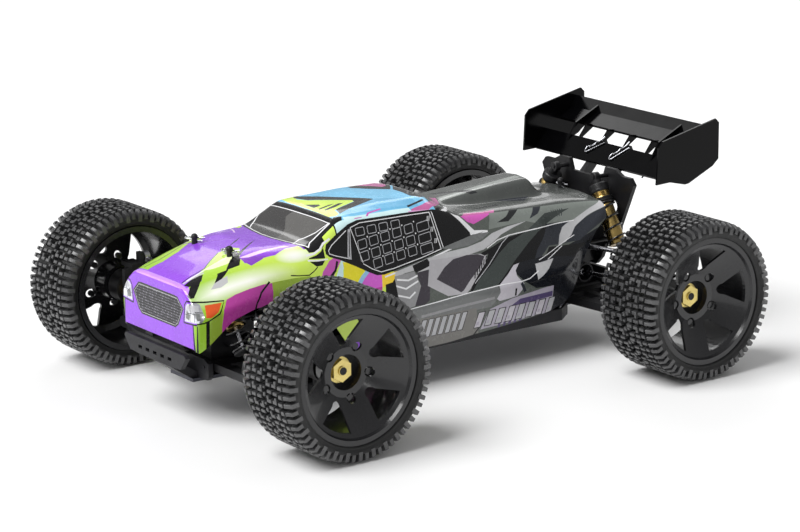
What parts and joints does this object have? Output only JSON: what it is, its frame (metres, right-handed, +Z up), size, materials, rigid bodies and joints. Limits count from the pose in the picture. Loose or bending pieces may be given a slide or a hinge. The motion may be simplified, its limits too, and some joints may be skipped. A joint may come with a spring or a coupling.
{
  "type": "remote-controlled off-road truck",
  "caption": "Low remote-controlled off-road truck with a painted body shell, large knobbed wheels on sprung arms, a steered front axle and a tall rear wing.",
  "frame": {"origin": "on the ground under the middle of the overall box", "axes": "+X to the vehicle's left, -Y towards the nose, +Z up"},
  "size_m": [0.425, 0.557, 0.205],
  "materials": {
    "alloy": "anodised",
    "dark_plastic": "moulded nylon",
    "tower_plastic": "moulded nylon",
    "motor_can": "satin",
    "battery_wrap": "shrink wrap",
    "case_plastic": "satin",
    "shell_paint": "painted polycarbonate",
    "wing_plastic": "gloss",
    "post_plastic": "moulded",
    "tyre_rubber": "rubber",
    "rim_plastic": "satin",
    "gold_metal": "anodised gold",
    "arm_plastic": "moulded nylon",
    "link_steel": "turned",
    "spring_steel": "black coated wire",
    "gear_steel": "hardened"
  },
  "bodies": {
    "chassis": {"chassis_plate": "alloy", "guards_and_bumpers": "dark_plastic", "drive_housings": "dark_plastic", "shock_towers": "tower_plastic", "motor": "motor_can", "battery_pack": "battery_wrap", "electronics": "case_plastic", "body_shell": "shell_paint", "rear_wing": "wing_plastic", "posts_and_clips": "post_plastic"},
    "arm_fl": {"arm_fl": "arm_plastic"},
    "caster_fl": {"caster_fl": "arm_plastic"},
    "knuckle_fl": {"knuckle_fl": "arm_plastic"},
    "wheel_fl": {"tyre_fl": "tyre_rubber", "rim_fl": "rim_plastic", "axle_fl": "gold_metal"},
    "driveshaft_fl": {"driveshaft_fl": "link_steel"},
    "link_fl": {"link_fl": "link_steel"},
    "shock_fl": {"shock_fl": "gold_metal", "spring_fl": "spring_steel"},
    "shock_rod_fl": {"rod_fl": "link_steel"},
    "arm_fr": {"arm_fr": "arm_plastic"},
    "caster_fr": {"caster_fr": "arm_plastic"},
    "knuckle_fr": {"knuckle_fr": "arm_plastic"},
    "wheel_fr": {"tyre_fr": "tyre_rubber", "rim_fr": "rim_plastic", "axle_fr": "gold_metal"},
    "driveshaft_fr": {"driveshaft_fr": "link_steel"},
    "link_fr": {"link_fr": "link_steel"},
    "shock_fr": {"shock_fr": "gold_metal", "spring_fr": "spring_steel"},
    "shock_rod_fr": {"rod_fr": "link_steel"},
    "arm_rl": {"arm_rl": "arm_plastic"},
    "hub_rl": {"hub_rl": "arm_plastic"},
    "wheel_rl": {"tyre_rl": "tyre_rubber", "rim_rl": "rim_plastic", "axle_rl": "gold_metal"},
    "driveshaft_rl": {"driveshaft_rl": "link_steel"},
    "link_rl": {"link_rl": "link_steel"},
    "shock_rl": {"shock_rl": "gold_metal", "spring_rl": "spring_steel"},
    "shock_rod_rl": {"rod_rl": "link_steel"},
    "arm_rr": {"arm_rr": "arm_plastic"},
    "hub_rr": {"hub_rr": "arm_plastic"},
    "wheel_rr": {"tyre_rr": "tyre_rubber", "rim_rr": "rim_plastic", "axle_rr": "gold_metal"},
    "driveshaft_rr": {"driveshaft_rr": "link_steel"},
    "link_rr": {"link_rr": "link_steel"},
    "shock_rr": {"shock_rr": "gold_metal", "spring_rr": "spring_steel"},
    "shock_rod_rr": {"rod_rr": "link_steel"},
    "bellcrank_l": {"bellcrank_l": "arm_plastic"},
    "bellcrank_r": {"bellcrank_r": "arm_plastic"},
    "steering_plate": {"steering_plate": "alloy"},
    "servo_horn": {"servo_horn": "arm_plastic"},
    "track_rod_l": {"track_rod_l": "link_steel"},
    "track_rod_r": {"track_rod_r": "link_steel"},
    "spur_gear": {"spur_gear": "gear_steel"},
    "pinion": {"pinion": "gear_steel"}
  },
  "joints": [
    {"name": "suspension_fl", "type": "hinge", "parent": "chassis", "child": "arm_fl", "pos_m": [0.026, -0.2065, 0.044], "axis": [0, -1, 0], "range_deg": [-10, 12], "stiffness_Nm_per_rad": 22, "springref_deg": -3.44},
    {"name": "camber_fl", "type": "hinge", "parent": "arm_fl", "child": "caster_fl", "pos_m": [0.136, -0.2065, 0.046], "axis": [0, -1, 0], "range_deg": [-9.23, 7.77]},
    {"name": "kingpin_fl", "type": "hinge", "parent": "caster_fl", "child": "knuckle_fl", "pos_m": [0.15, -0.2065, 0.072], "axis": [0, 0, 1], "range_deg": [-26, 26]},
    {"name": "wheel_spin_fl", "type": "hinge", "parent": "knuckle_fl", "child": "wheel_fl", "pos_m": [0.177, -0.2065, 0.072], "axis": [1, 0, 0], "continuous": true},
    {"name": "driveshaft_spin_fl", "type": "hinge", "parent": "arm_fl", "child": "driveshaft_fl", "pos_m": [0.034, -0.2065, 0.064], "axis": [0.9976, 0, 0.0688], "continuous": true},
    {"name": "upper_link_fl", "type": "hinge", "parent": "chassis", "child": "link_fl", "pos_m": [0.04, -0.1965, 0.086], "axis": [0, -1, 0], "range_deg": [-11.63, 13.86]},
    {"name": "shock_swing_fl", "type": "hinge", "parent": "chassis", "child": "shock_fl", "pos_m": [0.026, -0.2265, 0.126], "axis": [0, -1, 0], "range_deg": [-2.97, 3.46]},
    {"name": "shock_stroke_fl", "type": "slide", "parent": "shock_fl", "child": "shock_rod_fl", "axis": [0.5855, 0, -0.8107], "range_m": [-0.01061, 0.00893], "deforming": ["spring_fl"]},
    {"name": "suspension_fr", "type": "hinge", "parent": "chassis", "child": "arm_fr", "pos_m": [-0.026, -0.2065, 0.044], "axis": [0, 1, 0], "range_deg": [-10, 12], "stiffness_Nm_per_rad": 22, "springref_deg": -3.44},
    {"name": "camber_fr", "type": "hinge", "parent": "arm_fr", "child": "caster_fr", "pos_m": [-0.136, -0.2065, 0.046], "axis": [0, 1, 0], "range_deg": [-9.23, 7.77]},
    {"name": "kingpin_fr", "type": "hinge", "parent": "caster_fr", "child": "knuckle_fr", "pos_m": [-0.15, -0.2065, 0.072], "axis": [0, 0, 1], "range_deg": [-26, 26]},
    {"name": "wheel_spin_fr", "type": "hinge", "parent": "knuckle_fr", "child": "wheel_fr", "pos_m": [-0.177, -0.2065, 0.072], "axis": [1, 0, 0], "continuous": true},
    {"name": "driveshaft_spin_fr", "type": "hinge", "parent": "arm_fr", "child": "driveshaft_fr", "pos_m": [-0.034, -0.2065, 0.064], "axis": [0.9976, 0, -0.0688], "continuous": true},
    {"name": "upper_link_fr", "type": "hinge", "parent": "chassis", "child": "link_fr", "pos_m": [-0.04, -0.1965, 0.086], "axis": [0, 1, 0], "range_deg": [-11.63, 13.86]},
    {"name": "shock_swing_fr", "type": "hinge", "parent": "chassis", "child": "shock_fr", "pos_m": [-0.026, -0.2265, 0.126], "axis": [0, 1, 0], "range_deg": [-2.97, 3.46]},
    {"name": "shock_stroke_fr", "type": "slide", "parent": "shock_fr", "child": "shock_rod_fr", "axis": [-0.5855, 0, -0.8107], "range_m": [-0.01061, 0.00893], "deforming": ["spring_fr"]},
    {"name": "suspension_rl", "type": "hinge", "parent": "chassis", "child": "arm_rl", "pos_m": [0.026, 0.1685, 0.044], "axis": [0, -1, 0], "range_deg": [-10, 12], "stiffness_Nm_per_rad": 24, "springref_deg": -3.44},
    {"name": "camber_rl", "type": "hinge", "parent": "arm_rl", "child": "hub_rl", "pos_m": [0.136, 0.1685, 0.046], "axis": [0, -1, 0], "range_deg": [-10.7, 9]},
    {"name": "wheel_spin_rl", "type": "hinge", "parent": "hub_rl", "child": "wheel_rl", "pos_m": [0.177, 0.1685, 0.072], "axis": [1, 0, 0], "continuous": true},
    {"name": "driveshaft_spin_rl", "type": "hinge", "parent": "arm_rl", "child": "driveshaft_rl", "pos_m": [0.034, 0.1685, 0.064], "axis": [0.9976, 0, 0.0688], "continuous": true},
    {"name": "upper_link_rl", "type": "hinge", "parent": "chassis", "child": "link_rl", "pos_m": [0.04, 0.1585, 0.092], "axis": [0, -1, 0], "range_deg": [-11.57, 13.79]},
    {"name": "shock_swing_rl", "type": "hinge", "parent": "chassis", "child": "shock_rl", "pos_m": [0.029, 0.1885, 0.15], "axis": [0, -1, 0], "range_deg": [-2.26, 2.62]},
    {"name": "shock_stroke_rl", "type": "slide", "parent": "shock_rl", "child": "shock_rod_rl", "axis": [0.4971, 0, -0.8677], "range_m": [-0.01213, 0.01019], "deforming": ["spring_rl"]},
    {"name": "suspension_rr", "type": "hinge", "parent": "chassis", "child": "arm_rr", "pos_m": [-0.026, 0.1685, 0.044], "axis": [0, 1, 0], "range_deg": [-10, 12], "stiffness_Nm_per_rad": 24, "springref_deg": -3.44},
    {"name": "camber_rr", "type": "hinge", "parent": "arm_rr", "child": "hub_rr", "pos_m": [-0.136, 0.1685, 0.046], "axis": [0, 1, 0], "range_deg": [-10.7, 9]},
    {"name": "wheel_spin_rr", "type": "hinge", "parent": "hub_rr", "child": "wheel_rr", "pos_m": [-0.177, 0.1685, 0.072], "axis": [1, 0, 0], "continuous": true},
    {"name": "driveshaft_spin_rr", "type": "hinge", "parent": "arm_rr", "child": "driveshaft_rr", "pos_m": [-0.034, 0.1685, 0.064], "axis": [0.9976, 0, -0.0688], "continuous": true},
    {"name": "upper_link_rr", "type": "hinge", "parent": "chassis", "child": "link_rr", "pos_m": [-0.04, 0.1585, 0.092], "axis": [0, 1, 0], "range_deg": [-11.57, 13.79]},
    {"name": "shock_swing_rr", "type": "hinge", "parent": "chassis", "child": "shock_rr", "pos_m": [-0.029, 0.1885, 0.15], "axis": [0, 1, 0], "range_deg": [-2.26, 2.62]},
    {"name": "shock_stroke_rr", "type": "slide", "parent": "shock_rr", "child": "shock_rod_rr", "axis": [-0.4971, 0, -0.8677], "range_m": [-0.01213, 0.01019], "deforming": ["spring_rr"]},
    {"name": "steering", "type": "hinge", "parent": "chassis", "child": "bellcrank_l", "pos_m": [0.02, -0.1665, 0.065], "axis": [0, 0, 1], "range_deg": [-25, 25]},
    {"name": "bellcrank_r_turn", "type": "hinge", "parent": "chassis", "child": "bellcrank_r", "pos_m": [-0.02, -0.1665, 0.065], "axis": [0, 0, 1], "range_deg": [-26, 26]},
    {"name": "steering_plate_turn", "type": "hinge", "parent": "bellcrank_l", "child": "steering_plate", "pos_m": [0.02, -0.1405, 0.073], "axis": [0, 0, 1], "range_deg": [-26, 26]},
    {"name": "servo_horn_turn", "type": "hinge", "parent": "chassis", "child": "servo_horn", "pos_m": [-0.034, -0.1225, 0.069], "axis": [0, 0, 1], "range_deg": [-26, 26]},
    {"name": "track_rod_l_swing", "type": "hinge", "parent": "steering_plate", "child": "track_rod_l", "pos_m": [0.04, -0.1525, 0.0585], "axis": [0, -1, 0], "range_deg": [-10.81, 12.87]},
    {"name": "track_rod_r_swing", "type": "hinge", "parent": "steering_plate", "child": "track_rod_r", "pos_m": [-0.04, -0.1525, 0.0585], "axis": [0, 1, 0], "range_deg": [-10.81, 12.87]},
    {"name": "spur_spin", "type": "hinge", "parent": "chassis", "child": "spur_gear", "pos_m": [0, -0.0065, 0.058], "axis": [0, 1, 0], "continuous": true},
    {"name": "pinion_spin", "type": "hinge", "parent": "chassis", "child": "pinion", "pos_m": [-0.03, -0.0065, 0.058], "axis": [0, 1, 0], "continuous": true}
  ],
  "couplings": [
    {"joint": "camber_fl", "follows": "suspension_fl", "ratio": -0.7274},
    {"joint": "kingpin_fl", "follows": "steering", "ratio": 1},
    {"joint": "driveshaft_spin_fl", "follows": "wheel_spin_fl", "ratio": 1},
    {"joint": "upper_link_fl", "follows": "suspension_fl", "ratio": 1.113},
    {"joint": "shock_swing_fl", "follows": "suspension_fl", "ratio": 0.247},
    {"joint": "shock_stroke_fl", "follows": "suspension_fl", "m_per_rad": -0.048281},
    {"joint": "camber_fr", "follows": "suspension_fr", "ratio": -0.7274},
    {"joint": "kingpin_fr", "follows": "steering", "ratio": 1},
    {"joint": "driveshaft_spin_fr", "follows": "wheel_spin_fr", "ratio": 1},
    {"joint": "upper_link_fr", "follows": "suspension_fr", "ratio": 1.113},
    {"joint": "shock_swing_fr", "follows": "suspension_fr", "ratio": 0.247},
    {"joint": "shock_stroke_fr", "follows": "suspension_fr", "m_per_rad": -0.048281},
    {"joint": "camber_rl", "follows": "suspension_rl", "ratio": -0.8502},
    {"joint": "driveshaft_spin_rl", "follows": "wheel_spin_rl", "ratio": 1},
    {"joint": "upper_link_rl", "follows": "suspension_rl", "ratio": 1.1071},
    {"joint": "shock_swing_rl", "follows": "suspension_rl", "ratio": 0.1764},
    {"joint": "shock_stroke_rl", "follows": "suspension_rl", "m_per_rad": -0.055511},
    {"joint": "camber_rr", "follows": "suspension_rr", "ratio": -0.8502},
    {"joint": "driveshaft_spin_rr", "follows": "wheel_spin_rr", "ratio": 1},
    {"joint": "upper_link_rr", "follows": "suspension_rr", "ratio": 1.1071},
    {"joint": "shock_swing_rr", "follows": "suspension_rr", "ratio": 0.1764},
    {"joint": "shock_stroke_rr", "follows": "suspension_rr", "m_per_rad": -0.055511},
    {"joint": "bellcrank_r_turn", "follows": "steering", "ratio": 1},
    {"joint": "steering_plate_turn", "follows": "steering", "ratio": -1},
    {"joint": "servo_horn_turn", "follows": "steering", "ratio": 1},
    {"joint": "track_rod_l_swing", "follows": "suspension_fl", "ratio": 1.031},
    {"joint": "track_rod_r_swing", "follows": "suspension_fr", "ratio": 1.031},
    {"joint": "pinion_spin", "follows": "spur_spin", "ratio": -3.2857}
  ]
}
